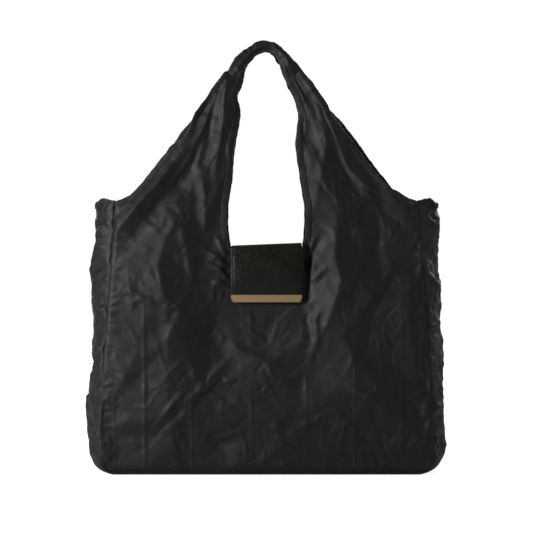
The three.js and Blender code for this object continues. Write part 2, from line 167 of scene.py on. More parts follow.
def outer_x(z, side, is_front=True):
    """How far the outer edge is from the middle: the seam, then the shoulder and the strap."""
    curve = OUTER_CURVE[side]
    low, high, drawn_in = DRAWN_IN[side]
    window = ease(z, low, low + 12) * ease(z, high, high - 26)
    wobble = wave(z, 26 + side, 0.6) * ease(z, SHOULDER_Z + 8, SHOULDER_Z + 28)
    wobble = wobble + window * (-drawn_in if is_front else LET_OUT)
    return np.where(z <= SHOULDER_Z, seam_x(z), np.interp(z, curve[1:, 1], curve[1:, 0]) + wobble)


# ---- Folds: height maps on a 1 mm raster of x and z ----
RASTER_X = np.arange(-236.0, 237.0)
RASTER_Z = np.arange(-8.0, 565.0)
GX, GZ = np.meshgrid(RASTER_X, RASTER_Z)


def fold(points, below, above, power=1.25):
    """A crest through (x, z, height) points. It falls off over two widths: below is to the left of
    a line drawn downwards or under one drawn rightwards, and above is on the other side."""
    reach = max(below, above) + 1
    xs, zs, _ = zip(*points)
    c0, c1 = np.searchsorted(RASTER_X, (min(xs) - reach, max(xs) + reach))
    r0, r1 = np.searchsorted(RASTER_Z, (min(zs) - reach, max(zs) + reach))
    x, z = GX[r0:r1, c0:c1], GZ[r0:r1, c0:c1]
    best, height, side = np.full(x.shape, 1e9), np.zeros(x.shape), np.zeros(x.shape)
    for (ax, az, ah), (bx, bz, bh) in zip(points, points[1:]):
        ux, uz = bx - ax, bz - az
        t = clamp01(((x - ax) * ux + (z - az) * uz) / (ux * ux + uz * uz))
        px, pz = x - (ax + t * ux), z - (az + t * uz)
        d = np.hypot(px, pz)
        near = d < best
        best = np.where(near, d, best)
        height = np.where(near, ah + t * (bh - ah), height)
        side = np.where(near, ux * pz - uz * px, side)
    out = np.zeros(GX.shape)
    out[r0:r1, c0:c1] = height * clamp01(1 - best / np.where(side > 0, above, below)) ** power
    return out


def facets(spacing, size, seed, lean=1.0):
    """Crumpled cloth: flat facets between random points. lean stretches them upwards."""
    rng = np.random.default_rng(seed)
    step_z = spacing * lean
    xs = np.arange(RASTER_X[0] - 2 * spacing, RASTER_X[-1] + 3 * spacing, spacing)
    zs = np.arange(RASTER_Z[0] - 2 * step_z, RASTER_Z[-1] + 3 * step_z, step_z)
    grid_x, grid_z = np.meshgrid(xs, zs)
    grid_x = grid_x + (rng.random(grid_x.shape) - 0.5) * spacing * 0.9
    grid_z = grid_z + (rng.random(grid_z.shape) - 0.5) * step_z * 0.9
    corners = np.stack([grid_x, grid_z, rng.normal(0, size, grid_x.shape)], -1)
    # Each cell of the grid is cut along one diagonal or the other.
    a, b, c, d = corners[:-1, :-1], corners[:-1, 1:], corners[1:, 1:], corners[1:, :-1]
    flip = rng.random(a.shape[:2])[..., None] < 0.5
    halves = [np.where(flip, [a, b, c], [b, c, d]), np.where(flip, [a, c, d], [b, d, a])]
    triangles = np.concatenate(halves, 1).reshape(3, -1, 3)
    # Points all over each triangle, closer than the raster's cells, are averaged in those cells.
    count = max(4, int(2.4 * max(spacing, step_z)))
    u, v = [w.ravel() / count for w in np.mgrid[0:count + 1, 0:count + 1]]
    u, v = u[u + v <= 1.0001], v[u + v <= 1.0001]
    total, hits = np.zeros(GX.size), np.zeros(GX.size)
    batches = max(1, triangles.shape[1] * len(u) // 2_000_000)
    for part in np.array_split(np.arange(triangles.shape[1]), batches):
        p, q, r = triangles[:, part, None, :]
        at = (p + (q - p) * u[:, None] + (r - p) * v[:, None]).reshape(-1, 3)
        col = np.rint(at[:, 0] - RASTER_X[0]).astype(int)
        row = np.rint(at[:, 1] - RASTER_Z[0]).astype(int)
        inside = (col >= 0) & (col < GX.shape[1]) & (row >= 0) & (row < GX.shape[0])
        cell = row[inside] * GX.shape[1] + col[inside]
        total += np.bincount(cell, at[inside, 2], GX.size)
        hits += np.bincount(cell, minlength=GX.size)
    return (total / np.maximum(hits, 1)).reshape(GX.shape)


def blur(a, sigma):
    reach = int(3 * sigma + 1)
    kernel = np.exp(-0.5 * (np.arange(-reach, reach + 1) / sigma) ** 2)
    kernel /= kernel.sum()
    for axis in (0, 1):
        padded = np.pad(a, [(reach, reach) if k == axis else (0, 0) for k in (0, 1)], mode="edge")
        a = np.apply_along_axis(lambda line: np.convolve(line, kernel, "valid"), axis, padded)
    return a


def sample(raster, x, z):
    """The raster's value at points, between its cells."""
    fx = np.clip(x - RASTER_X[0], 0, raster.shape[1] - 1.001)
    fz = np.clip(z - RASTER_Z[0], 0, raster.shape[0] - 1.001)
    ix, iz = fx.astype(int), fz.astype(int)
    tx, tz = fx - ix, fz - iz
    low = raster[iz, ix] * (1 - tx) + raster[iz, ix + 1] * tx
    high = raster[iz + 1, ix] * (1 - tx) + raster[iz + 1, ix + 1] * tx
    return low * (1 - tz) + high * tz


# Broad folds of the front: (crest points, width below, width above), as fold takes them.
FRONT_FOLDS = [
    # left: the swell below the strap, with a sharp edge towards the case
    ([(-92, 352, 3), (-110, 322, 9), (-125, 295, 12), (-134, 264, 13), (-131, 240, 12), (-124, 214, 9),
      (-122, 180, 7), (-124, 120, 6), (-118, 60, 5), (-112, 8, 4)], 74, 54),
    ([(-95, 420, 2), (-131, 374, 6), (-162, 336, 7), (-188, 303, 5), (-202, 280, 0)], 12, 26),
    ([(-70, 420, 0), (-100, 380, -3), (-130, 345, -4), (-160, 308, -2), (-185, 275, 0)], 16, 14),
    ([(-84, 390, 0), (-77, 348, 3.8), (-76, 314, 2.2), (-80, 300, 0)], 11, 13),
    ([(-57, 372, 0), (-66, 342, 3), (-77, 308, 0)], 9, 9),
    ([(-50, 500, 4), (-53, 472, 7), (-55, 444, 7), (-58, 414, 6), (-63, 384, 3), (-69, 352, 0)], 15, 19),
    ([(-64, 478, 2.5), (-78, 436, 3), (-96, 402, 0)], 7, 6),
    ([(-72, 432, 0), (-84, 400, 2.2), (-90, 372, 0)], 6, 6),
    ([(-96, 340, 0), (-104, 300, 1.5), (-95, 262, 2), (-94, 230, 0)], 8, 10),
    # gathers at the case's left side
    ([(-84, 286, 0), (-62, 272, 4.5), (-50, 262, 2)], 5, 4),
    ([(-74, 262, 0), (-60, 257, 3.5), (-50, 247, 2)], 4, 5),
    ([(-70, 240, 0), (-58, 240, 3.0), (-50, 236, 1)], 3.5, 4),
    ([(-66, 300, 0), (-58, 290, 3), (-52, 276, 2)], 4, 5),
    # right: the bright strap fold and the jagged fold beside the case
    ([(52, 492, 4), (62, 462, 5.5), (75, 420, 7), (68, 372, 5), (57, 326, 2), (50, 300, 0)], 26, 36),
    ([(78, 372, 0), (86, 341, 5), (89, 305, 8), (85, 276, 8), (93, 241, 10), (82, 210, 9), (64, 166, 4),
      (49, 126, 0)], 32, 52),
    ([(70, 300, 0), (61, 282, -4), (50, 262, -3)], 7, 8),
    ([(76, 262, 0), (64, 250, 3), (56, 240, 0)], 4, 6),
    ([(70, 212, 0), (60, 196, 3.5), (62, 172, 2), (52, 140, 0)], 7, 7),
    ([(82, 372, 0), (90, 338, 1.8), (99, 300, 0)], 4, 4),
    ([(94, 400, 0), (126, 356, 2.5), (157, 298, 0)], 12, 10),
    ([(166, 268, 0), (132, 222, 3.5), (100, 178, 0)], 22, 7),
    ([(120, 420, 0), (150, 360, 2), (184, 300, 0)], 12, 12),
    ([(108, 330, 0), (122, 290, 2), (118, 245, 0)], 12, 14),
    ([(178, 262, 0), (176, 200, 2.8), (184, 140, 1.5), (186, 90, 0)], 24, 14),
    # below the case
    ([(-54, 169, 0), (-34, 155, 3), (4, 141, 2), (30, 128, 0)], 7, 10),
    ([(-37, 155, 0), (-62, 130, 2.4), (-90, 102, 2.5), (-110, 84, 0)], 7, 12),
    ([(-95, 148, 0), (-88, 128, 3.2), (-78, 112, 0)], 9, 6),
    ([(-90, 102, 0), (-72, 110, 2.2), (-53, 123, 0)], 5, 6),
    ([(-96, 113, 0), (-118, 88, 2.4), (-140, 60, 0)], 4, 5),
    ([(-90, 104, 0), (-110, 78, -2.0), (-132, 58, 0)], 6, 6),
    ([(-185, 239, 0), (-158, 222, 2.4), (-124, 203, 0)], 5, 9),
    ([(-122, 205, 0), (-108, 214, 2.0), (-92, 232, 0)], 5, 8),
    ([(97, 117, 0), (130, 96, 2.6), (168, 70, 0)], 8, 12),
    ([(79, 129, 0), (120, 98, 1.6), (166, 72, 0)], 4, 6),
    ([(-4, 145, 0), (4, 132, 2.2), (11, 118, 0)], 4, 5),
    ([(-66, 41, 0), (-44, 52, 1.6), (-20, 61, 0)], 4, 8),
    ([(26, 53, 0), (52, 64, 1.6), (80, 77, 0)], 4, 9),
    ([(-200, 150, 0), (-176, 120, 2.0), (-150, 96, 0)], 9, 14),
    ([(-196, 60, 0), (-170, 70, 2.0), (-140, 58, 0)], 12, 9),
]
FOLD_STRENGTH = 1.15  # all of those heights are raised by this
# Fine sharp lines left by packing and handling: (points, half width).
FRONT_LINES = [
    ([(-151, 4, 0.9), (-151, 120, 1.1), (-152, 214, 0.5), (-152, 226, 0)], 3.0),
    ([(-92, 4, 0.6), (-93, 100, 0.7), (-94, 132, 0)], 2.6),
    ([(-18, 4, 0.4), (-19, 90, 0.6), (-20, 128, 0)], 2.4),
    ([(49, 6, 0.3), (49, 126, 0.5)], 2.4),
    ([(110, 8, 0.4), (110, 120, 0.5), (109, 182, 0.3)], 2.6),
    ([(168, 30, 0.4), (168, 120, 0.6), (167, 214, 0.3)], 2.6),
    ([(-188, 8, 0.5), (-189, 70, 0.7), (-190, 120, 0)], 2.4),
    ([(-151, 111, 0.9), (-98, 110, 0.7)], 2.4),
    ([(-21, 212, 0), (-20, 190, 1.1), (-18, 171, 0)], 2.2),
    ([(-34, 192, 0), (-18, 180, 1.4), (-1, 167, 0)], 2.4),
    ([(38, 214, 0), (24, 200, 1.2), (7, 184, 0)], 2.4),
    ([(-93, 258, 0), (-93, 246, 1.2), (-94, 231, 0)], 2.4),
    ([(-112, 352, 0), (-96, 326, 1.0), (-92, 318, 0)], 2.2),
    ([(-88, 352, 0), (-100, 330, 1.0), (-108, 316, 0)], 2.2),
    ([(-96, 362, 0), (-96, 318, 0.9)], 2.2),
    ([(-140, 176, 0), (-128, 142, 1.0), (-124, 128, 0)], 3.0),
    ([(12, 96, 0), (-2, 120, 0.8), (-6, 140, 0)], 2.6),
    ([(84, 60, 0), (110, 52, 0.8), (140, 30, 0)], 3.0),
    ([(-180, 196, 0), (-166, 180, 0.9), (-158, 160, 0)], 3.0),
    ([(150, 196, 0), (140, 160, 0.8), (146, 130, 0)], 3.0),
]


CRUMPLE = ((58, 1.7), (34, 0.95), (17, 0.42), (9, 0.2))  # (spacing, height) of each size of facet
BACK_LINES = (-150, -92, -20, 50, 110, 168)  # x of the upright lines pressed into the back


def edge_distance():
    """Distance of each raster cell from the seams: the sides below the shoulder, and the base."""
    side = np.where(GZ < SHOULDER_Z + 20, seam_x(np.minimum(GZ, SHOULDER_Z)) - np.abs(GX), 99.0)
    return np.minimum(side, GZ - BASE_EDGE_Z)


def crumple(seed, amount):
    """Crumpled cloth: flat facets of several sizes."""
    return amount * sum(facets(spacing, size, seed + k) for k, (spacing, size) in enumerate(CRUMPLE))


def creases(seed, count, size):
    """Short sharp creases in all directions, some up and some down."""
    rng = np.random.default_rng(seed)
    total = np.zeros(GX.shape)
    for _ in range(count):
        x, z = rng.uniform(-205, 205), rng.uniform(12, 420)
        angle, reach = rng.uniform(0, math.pi), rng.uniform(8, 34)
        bend = angle + rng.normal(0, 0.5)
        height = size * rng.uniform(0.5, 1.0) * rng.choice([-1, 1, 1])
        points = [(x - reach * math.cos(angle), z - reach * math.sin(angle), 0), (x, z, height),
                  (x + reach * math.cos(bend), z + reach * math.sin(bend), 0)]
        width = rng.uniform(1.6, 3.6)
        total += fold(points, width, width * rng.uniform(0.6, 1.8), 1.0)
    return total


def strap_pleats(seed, size):
    """Long pleats that follow the straps and fan out below them: facets stretched along a strap."""
    inner = np.where(GX < 0, neck_x(GZ, -1), neck_x(GZ, 1))
    outer = np.where(GX < 0, outer_x(GZ, -1), outer_x(GZ, 1))
    across = (np.abs(GX) - inner) / np.maximum(outer - inner, 5.0)
    x, z = np.sign(GX) * (30 + across * 62), 150.0 + GZ / 4.5
    pleats = sample(facets(13, size, seed), x, z) + sample(facets(6, size * 0.4, seed + 1), x, z)
    return pleats * ease(GZ, 285, 395) * ease(across, 1.25, 0.95)


def seam_pucker(seed):
    """Short level wrinkles that run in from the side seams."""
    rough = facets(8, 1.0, seed, 0.55)
    distance = seam_x(np.minimum(GZ, SHOULDER_Z)) - np.abs(GX)
    return rough * 0.9 * np.exp(-(clamp01(distance / 30) * 2.2) ** 2) * (GZ < SHOULDER_Z + 6)


def sew_down(total, seed):
    """Holds the cloth down at the seams, in a narrow groove."""
    distance = edge_distance() + 0.8 * np.sin(GZ / 6.0 + seed) * ease(GZ, 20, 40)
    return total * ease(edge_distance(), 0, 5) - 1.1 * np.exp(-((distance / 1.4) ** 2))


def front_heights():
    total = crumple(101, 0.9) + strap_pleats(171, 1.1)
    for points, below, above in FRONT_FOLDS:
        total += FOLD_STRENGTH * fold(points, below, above, 1.1)
    total = blur(total, 0.7)
    for points, width in FRONT_LINES:
        total += fold(points, width, width, 1.0)
    total = blur(total + seam_pucker(151) + creases(161, 330, 1.15), 0.4)
    # Beside the case the cloth dips, most at the right. Behind the case it lies flat.
    from_middle = np.abs(GX)
    beside_case = np.exp(-(((from_middle - 50) / 4.5) ** 2)) * ease(GZ, 216, 226) * ease(GZ, 298, 284)
    total -= np.where(GX > 0, 5.0, 0.6) * beside_case
    behind_case = ease(from_middle, 50, 44) * ease(GZ, 205, 219) * (GZ < NECK_Z + 8)
    return sew_down(total * (1 - behind_case), 1.0)


def back_heights():
    total = crumple(301, 1.1) + strap_pleats(371, 1.7)
    rng = np.random.default_rng(33)
    for _ in range(26):
        x, z = rng.uniform(-180, 180), rng.uniform(30, 330)
        angle, reach = rng.uniform(-1.3, 1.3), rng.uniform(25, 70)
        dx, dz = reach * math.sin(angle), reach * math.cos(angle)
        height = rng.uniform(1.5, 5)
        total += fold([(x + dx, z + dz, 0), (x, z, height), (x - dx * 0.7, z - dz, 0)],
                      rng.uniform(8, 34), rng.uniform(8, 34))
    for x in BACK_LINES:
        total += fold([(x, 4, 0.6), (x, 120, 0.9), (x, 230, 0)], 2.8, 2.8, 1.0)
    for side in (-1, 1):
        inner = [(54, 494, 4), (63, 440, 5), (72, 380, 3), (84, 320, 0)]
        outer = [(74, 470, 3), (95, 415, 4), (130, 360, 0)]
        total += fold([(side * x, z, height) for x, z, height in inner], 14, 18)
        total += fold([(side * x, z, height) for x, z, height in outer], 12, 12)
    return sew_down(blur(total + seam_pucker(351) + creases(361, 200, 1.6), 0.8), 2.0)


HEIGHTS = {True: front_heights(), False: back_heights()}


def face_point(x, z, is_front, out=0.0):
    """Points of the finished face in millimetres, moved outwards by out."""
    depth = face_depth(x, z, is_front) + sample(HEIGHTS[is_front], x, z) + out
    y = -depth if is_front else depth
    return np.stack(np.broadcast_arrays(x, y, z), -1)


# ---- Meshes ----
def add_object(name, data):
    obj = bpy.data.objects.new(name, data)
    bpy.context.scene.collection.objects.link(obj)
    return obj


def new_object(name, vertices, faces, *looks, smooth_shading=True):
    mesh = bpy.data.meshes.new(name)
    mesh.from_pydata([tuple(v) for v in np.asarray(vertices, float) * MM], [], faces)
    mesh.validate()
    mesh.update()
    obj = add_object(name, mesh)
    for look in looks:
        mesh.materials.append(look)
    if smooth_shading:
        mesh.polygons.foreach_set("use_smooth", [True] * len(mesh.polygons))
    return obj


def fix_normals(obj):
    bm = bmesh.new()
    bm.from_mesh(obj.data)
    bmesh.ops.recalc_face_normals(bm, faces=bm.faces)
    bm.to_mesh(obj.data)
    bm.free()


def set_uv(obj, uv):
    """Writes a UV per vertex, in metres, for materials that follow a strip's length."""
    layer = obj.data.uv_layers.new(name="UVMap")
    index = np.empty(len(obj.data.loops), int)
    obj.data.loops.foreach_get("vertex_index", index)
    layer.data.foreach_set("uv", (np.asarray(uv, float)[index] * MM).ravel())


def apply_modifiers(obj):
    graph = bpy.context.evaluated_depsgraph_get()
    made = bpy.data.meshes.new_from_object(obj.evaluated_get(graph))
    old = obj.data
    obj.modifiers.clear()
    obj.data = made
    bpy.data.meshes.remove(old)


def round_edges(obj, width):
    bevel = obj.modifiers.new("round edges", "BEVEL")
    bevel.width = width * MM
    bevel.segments = 3
    bevel.limit_method = "ANGLE"
    bevel.angle_limit = math.radians(40)


def thicken(obj, thickness, rim_slot=0, rounded=0.0):
    """Grows a sheet inwards, with a material slot of its own for the rim."""
    solid = obj.modifiers.new("thickness", "SOLIDIFY")
    solid.thickness = thickness * MM
    solid.offset = -1
    solid.material_offset_rim = rim_slot
    if rounded:
        round_edges(obj, rounded)
    apply_modifiers(obj)


def strip_faces(rows, cols, closed=False):
    """Quads of a grid with this many rows and columns of vertices; closed joins last column to first."""
    faces = []
    for r in range(rows - 1):
        for c in range(cols if closed else cols - 1):
            d = (c + 1) % cols
            faces.append((r * cols + c, r * cols + d, (r + 1) * cols + d, (r + 1) * cols + c))
    return faces


def face_sheet(name, is_front, step, look):
    """One face and its handle as a single sheet: three blocks of a grid around the neck opening."""
    strap_width, neck_width = 160, 92  # at their widest
    side_cols, mid_cols = round(strap_width / step), round(neck_width / step)
    below = np.linspace(BASE_EDGE_Z, NECK_Z, round((NECK_Z - BASE_EDGE_Z) / step) + 1)
    above = np.linspace(NECK_Z, GRIP_Z + 3, round((GRIP_Z - NECK_Z) / step) + 1)[1:]
    points, rows = [], []
    for z in np.concatenate([below, above]):
        whole = z <= NECK_Z
        left = -np.linspace(outer_x(z, -1, is_front), neck_x(z, -1), side_cols + 1)
        right = np.linspace(neck_x(z, 1), outer_x(z, 1, is_front), side_cols + 1)
        middle = np.linspace(left[-1], right[0], mid_cols + 1)[1:-1]
        rows.append((len(points), whole))
        points.extend((x, z) for x in np.concatenate([left, middle, right] if whole else [left, right]))
    faces = []
    for (a, a_whole), (b, b_whole) in zip(rows, rows[1:]):
        for c in range(2 * side_cols + mid_cols):
            left, middle = c < side_cols, side_cols <= c < side_cols + mid_cols
            if middle and not (a_whole and b_whole):
                continue
            p = a + c - (0 if a_whole or left else mid_cols - 1)
            q = b + c - (0 if b_whole or left else mid_cols - 1)
            faces.append((p, p + 1, q + 1, q))
    if not is_front:
        faces = [f[::-1] for f in faces]
    flat = np.array(points)
    obj = new_object(name, face_point(flat[:, 0], flat[:, 1], is_front), faces, look)
    thicken(obj, CLOTH)
    return obj


def gusset_lift(v, sign):
    """How far the top edge of a side rises above the shoulder: a little slack between peaked corners."""
    peaks = 4.6 * np.exp(-(((np.abs(v) - 0.66) / 0.2) ** 2))
    return wave(v * 60, 41 + sign, 1.3) - 1.5 * (1 - v**2) + peaks


def gusset_sheet(name, sign, look):
    """A side: it swells outwards between its seams, with soft rolls and wrinkles."""
    cols = 56
    zs = np.linspace(BASE_EDGE_Z, SHOULDER_Z - 1, 160)
    seed = 510 if sign < 0 else 530
    broad = blur(facets(30, 2.2, seed, 0.8), 0.8)
    fine = blur(facets(12, 1.7, seed + 1, 0.5) + facets(6, 0.6, seed + 2, 0.8), 0.5)
    v = np.linspace(-1, 1, cols)
    points = []
    for z in zs:
        depth = half_depth(z)
        from_seam = (1 - np.abs(v)) * depth
        level = np.full(cols, z)
        wrinkle = sample(broad, v * 60, level) + sample(fine, v * 60, level) * (0.3 + 0.7 * np.abs(v))
        wrinkle = wrinkle * ease(from_seam, 0, 2.5) * ease(z, BASE_EDGE_Z, BASE_EDGE_Z + 26)
        wrinkle = wrinkle * ease(z, SHOULDER_Z + 6, SHOULDER_Z - 10)
        roll = 1.3 * np.sin(z / 24.0 + 2 * sign) * np.cos(v * 2.2) * ease(z, 40, 100)
        tuck = np.exp(-((from_seam / 2.2) ** 2))
        out = seam_x(z) + gusset_bulge(z) * (1 - v**2) + wrinkle + roll - 1.2 * tuck
        lifted = z + gusset_lift(v, sign) * ease(z, 296, SHOULDER_Z)
        points.extend(zip(sign * out, v * (depth - 0.9 * tuck), lifted))
    faces = strip_faces(len(zs), cols)
    if sign < 0:
        faces = [f[::-1] for f in faces]
    obj = new_object(name, points, faces, look)
    thicken(obj, CLOTH)
    return obj


def base_sheet(name, look):
    """The bottom: rings of the bag's plan, from the base seams in to the middle."""
    per_face, per_gusset = 90, 22
    wall = [(z, 1.0) for z in (BASE_EDGE_Z, 3.6, 2.3, 1.2, 0.5, 0.1)]
    inner = [(0.05, scale) for scale in (0.94, 0.86, 0.75, 0.6, 0.42, 0.22)]
    rings = []
    for z, scale in wall + inner:
        half, depth = seam_x(max(z, 0.1)), half_depth(max(z, 0.1))
        u = np.linspace(-1, 1, per_face, endpoint=False)
        v = np.linspace(-1, 1, per_gusset, endpoint=False)
        bulge = gusset_bulge(z) * (1 - v**2)
        ring = np.concatenate([
            np.stack([u * half, np.full(per_face, -depth)], -1),
            np.stack([half + bulge, v * depth], -1),
            np.stack([-u * half, np.full(per_face, depth)], -1),
            np.stack([-half - bulge, -v * depth], -1),
        ]) * scale
        lift = 0.5 * (1 - scale) * np.sin(ring[:, 0] / 17.0) * np.cos(ring[:, 1] / 13.0) + 0.5 * (1 - scale)
        rings.append(np.column_stack([ring, np.full(len(ring), z) + lift]))
    count = len(rings[0])
    points = np.vstack(rings + [np.array([[0, 0, 0.4]])])
    faces = [f[::-1] for f in strip_faces(len(rings), count, closed=True)]
    last = (len(rings) - 1) * count
    faces += [(last + (i + 1) % count, last + i, len(points) - 1) for i in range(count)]
    obj = new_object(name, points, faces, look)
    fix_normals(obj)
    thicken(obj, CLOTH)
    return obj


def resample(path, step):
    path = np.asarray(path, float)
    lengths = np.concatenate([[0], np.cumsum(np.linalg.norm(np.diff(path, axis=0), axis=1))])
    s = np.linspace(0, lengths[-1], max(2, round(lengths[-1] / step) + 1))
    return np.stack([np.interp(s, lengths, path[:, k]) for k in range(path.shape[1])], -1), s


def left_of(line):
    """Unit vectors to the left of each point of a plane line."""
    along = np.gradient(line, axis=0)
    along /= np.linalg.norm(along, axis=1)[:, None] + 1e-9
    return np.stack([-along[:, 1], along[:, 0]], -1)


# A folded hem in section: (distance in from the edge, height above the cloth's middle).
HEM_SECTION = [(-0.8, 0.0), (-0.5, 0.55), (0.6, 0.75), (3.0, 0.62), (5.2, 0.7), (5.9, 0.55), (6.2, 0.1),
               (6.2, -0.3), (5.9, -0.65), (5.2, -0.75), (3.0, -0.7), (0.6, -0.75), (-0.5, -0.6)]
# The bound top edge of a side in section: (distance down from the edge, distance outwards).
TOP_HEM_SECTION = [(-0.9, 0.0), (-0.4, 0.8), (0.8, 1.1), (4.8, 1.0), (5.6, 0.5), (5.6, -0.5), (4.8, -1.0),
                   (0.8, -1.1), (-0.4, -0.8)]


def hem(name, path, is_front, inward, look, seed, lift=0.0):
    """A hem along a path of (x, z) on a face. inward is +1 if the cloth is to the path's left."""
    line, s = resample(path, 1.8)
    normal = left_of(line) * inward
    pucker = 0.4 * wave(s * 2.6, seed, 1.0) + 0.25 * wave(s * 7.0, seed + 1, 1.0)
    points, uv = [], []
    for k, (e, h) in enumerate(HEM_SECTION):
        wander = 0.35 * wave(s * 4.0 + k, seed + 2, 1.0)
        xz = line + normal * (e + wander)[:, None]
        out = h * (1 + 0.3 * wave(s * 5.0 + 3 * k, seed + 3, 1.0)) + pucker * ease(e, -1.2, 1.8)
        points.append(face_point(xz[:, 0], xz[:, 1], is_front, out + lift))
        uv.append(np.stack([s, np.full(len(s), e)], -1))
    return ribbon(name, np.stack(points, 1), np.stack(uv, 1), look)


def ribbon(name, grid, uv, look):
    """A closed strip from its sections, with its ends filled."""
    rows, cols = grid.shape[:2]
    faces = strip_faces(rows, cols, closed=True)
    faces += [tuple(range(cols))[::-1], tuple((rows - 1) * cols + c for c in range(cols))]
    obj = new_object(name, grid.reshape(-1, 3), faces, look)
    set_uv(obj, uv.reshape(-1, 2))
    fix_normals(obj)
    return obj


def neck_path(top):
    """The neck's edge from the left grip's end, down, across and up to the right grip's end."""
    zs = np.linspace(top, NECK_Z + 3, 110)
    left = np.stack([-neck_x(zs, -1), zs], -1)
    right = np.stack([neck_x(zs[::-1], 1), zs[::-1]], -1)
    middle = np.stack([np.linspace(-47, 47, 40), np.full(40, NECK_Z)], -1)
    return np.vstack([left, middle, right])


def outer_path(side, top, is_front):
    zs = np.linspace(SHOULDER_Z + 0.6, top, 120)
    edge = np.stack([side * outer_x(zs, side, is_front), zs], -1)
    start = np.array([[side * (seam_x(SHOULDER_Z) - 0.5), SHOULDER_Z]])
    return np.vstack([start, edge])


def grip(name, is_front, look):
    """The top of a handle: the strap folded in half and stitched into a soft ridged tube."""
    line, s = resample(spline(GRIP_LINE), 1.3)
    line, half_wide = line[:, :2], line[:, 2]
    normal = left_of(line)
    seed = 700 if is_front else 720
    bumps = blur(facets(8, 0.7, seed) + facets(4, 0.35, seed + 1), 0.6)
    open_end = 1 - ease(np.minimum(s, s[-1] - s), 0, 30)  # the tube flattens towards its ends
    half_wide = half_wide - 0.6 + wave(s, seed, 0.4)
    half_thick = 5.2 - 4.0 * open_end + wave(s + 40, seed + 5, 0.35)
    depth = half_depth(line[:, 1]) + 0.9 - 2.4 * open_end
    around = 48
    points, uv = [], []
    for a in np.linspace(0, 2 * np.pi, around, endpoint=False):
        pleats = 0.08 * np.cos(4 * a + s / 30.0) + 0.06 * np.cos(7 * a - s / 17.0)
        seam = 0.17 * np.exp(-((math.remainder(a - 4.1, 2 * math.pi) / 0.25) ** 2))
        radius = 1 - pleats - seam
        rough = sample(bumps, np.full(len(s), (a - np.pi) * 9), s * 1.3)
        wide = (half_wide * radius + rough) * math.cos(a)
        thick = (half_thick * radius + rough) * math.sin(a)
        xz = line + normal * wide[:, None]
        y = depth + thick
        points.append(np.stack([xz[:, 0], -y if is_front else y, xz[:, 1]], -1))
        uv.append(np.stack([s, np.full(len(s), a * 6.5)], -1))
    return ribbon(name, np.stack(points, 1), np.stack(uv, 1), look)


def gusset_hem(name, sign, look):
    """The bound top edge of a side."""
    v = np.linspace(-1, 1, 70)
    lift = gusset_lift(v, sign)
    depth = half_depth(SHOULDER_Z) - 0.4
    points = []
    for down, out in TOP_HEM_SECTION:
        x = seam_x(SHOULDER_Z) + gusset_bulge(SHOULDER_Z) * (1 - v**2) + out + wave(v * 80, 51 + sign, 0.5)
        points.append(np.stack([sign * x, v * depth, SHOULDER_Z - down + lift], -1))
    grid = np.stack(points, 1)
    return ribbon(name, grid, grid[:, :, 1:], look)


# ---- The leather case on the neck ----
FLAP_HALF, FLAP_LOW, FLAP_TOP, FLAP_FACE, FLAP_BACK = 44.0, 218.0, 286.5, -49.1, -29.0
FLAP_BEND = 5.0  # radius over the top
FLAP_DOME, FLAP_SLANT = 3.8, 1.8
SLANT_FROM_Y, SLANT_TO_Y = -33.0, -42.0  # the slant grows between these, so the hinge stays level
LINING_HALF, LINING_LOW, LINING_BACK, LINING_DEPTH = 42.5, 226.6, -33.2, 2.0
LEATHER_THICK, LINING_THICK = 1.6, 0.6
STITCH_INSET = 2.5
STITCHES_LOW, STITCHES_BACK = 228.0, -31.0
CASE_CORNER = 6.0


def flap_profile(inset, low, back):
    """The flap's section as (y, z) and its normals, from the bottom up the face and over the top.
    inset is the depth under the outer face."""
    radius = FLAP_BEND - inset
    centre_y, centre_z = FLAP_FACE + FLAP_BEND, FLAP_TOP - FLAP_BEND
    face = [(centre_y - radius, z, -1.0, 0.0) for z in np.linspace(low, centre_z, 46)]
    bend = [(centre_y - radius * math.cos(a), centre_z + radius * math.sin(a), -math.cos(a), math.sin(a))
            for a in np.linspace(0, math.pi / 2, 14)[1:]]
    top = [(y, centre_z + radius, 0.0, 1.0) for y in np.linspace(centre_y, back, 12)[1:]]
    return np.array(face + bend + top)


def slab(name, grid, thickness, looks, rounded=0.4):
    """A piece of leather or cloth with rounded edges, from a grid of points on its outer face."""
    rows, cols = grid.shape[:2]
    obj = new_object(name, grid.reshape(-1, 3), strip_faces(rows, cols), *looks)
    thicken(obj, thickness, len(looks) - 1, rounded)
    return obj


def flap_slant(x, y, z):
    """The flap's fold sits higher at the right. The lift fades to nothing at the hinge and down the face."""
    on_face = ease(z, FLAP_LOW + 8, FLAP_LOW + 58)
    return FLAP_SLANT * (1 + x / FLAP_HALF) * on_face * ease(y, SLANT_FROM_Y, SLANT_TO_Y)


def flap_sheet(name, half, inset, low, back, thickness, looks, stitched):
    """The flap's leather, or the lining under it: domed a little, and grooved along its stitches."""
    profile = flap_profile(inset, low, back)
    xs = np.linspace(-half, half, 90 if stitched else 40)
    y, z, ny, nz = (profile[:, k:k + 1] for k in range(4))
    length = np.arange(len(profile))[:, None] / len(profile)
    soft = FLAP_DOME * np.sin(np.pi * clamp01((z - low + 2) / 70)) ** 1.6 * (1 - 0.3 * (xs / half) ** 4)
    soft = soft + 0.22 * np.sin(xs / 9.0 + 5 * length) * np.sin(z / 7.0)
    if stitched:
        groove = np.exp(-(((np.abs(xs) - half + STITCH_INSET) / 0.7) ** 2))
        soft = soft - 0.5 * groove - 0.6 * np.exp(-(((np.abs(xs) - half) / 1.2) ** 2))
    else:
        soft = soft - 0.5
    lifted = z + nz * soft + flap_slant(xs, y, z)
    grid = np.stack(np.broadcast_arrays(xs[None, :], y + ny * soft, lifted), -1)
    return slab(name, grid, thickness, looks)


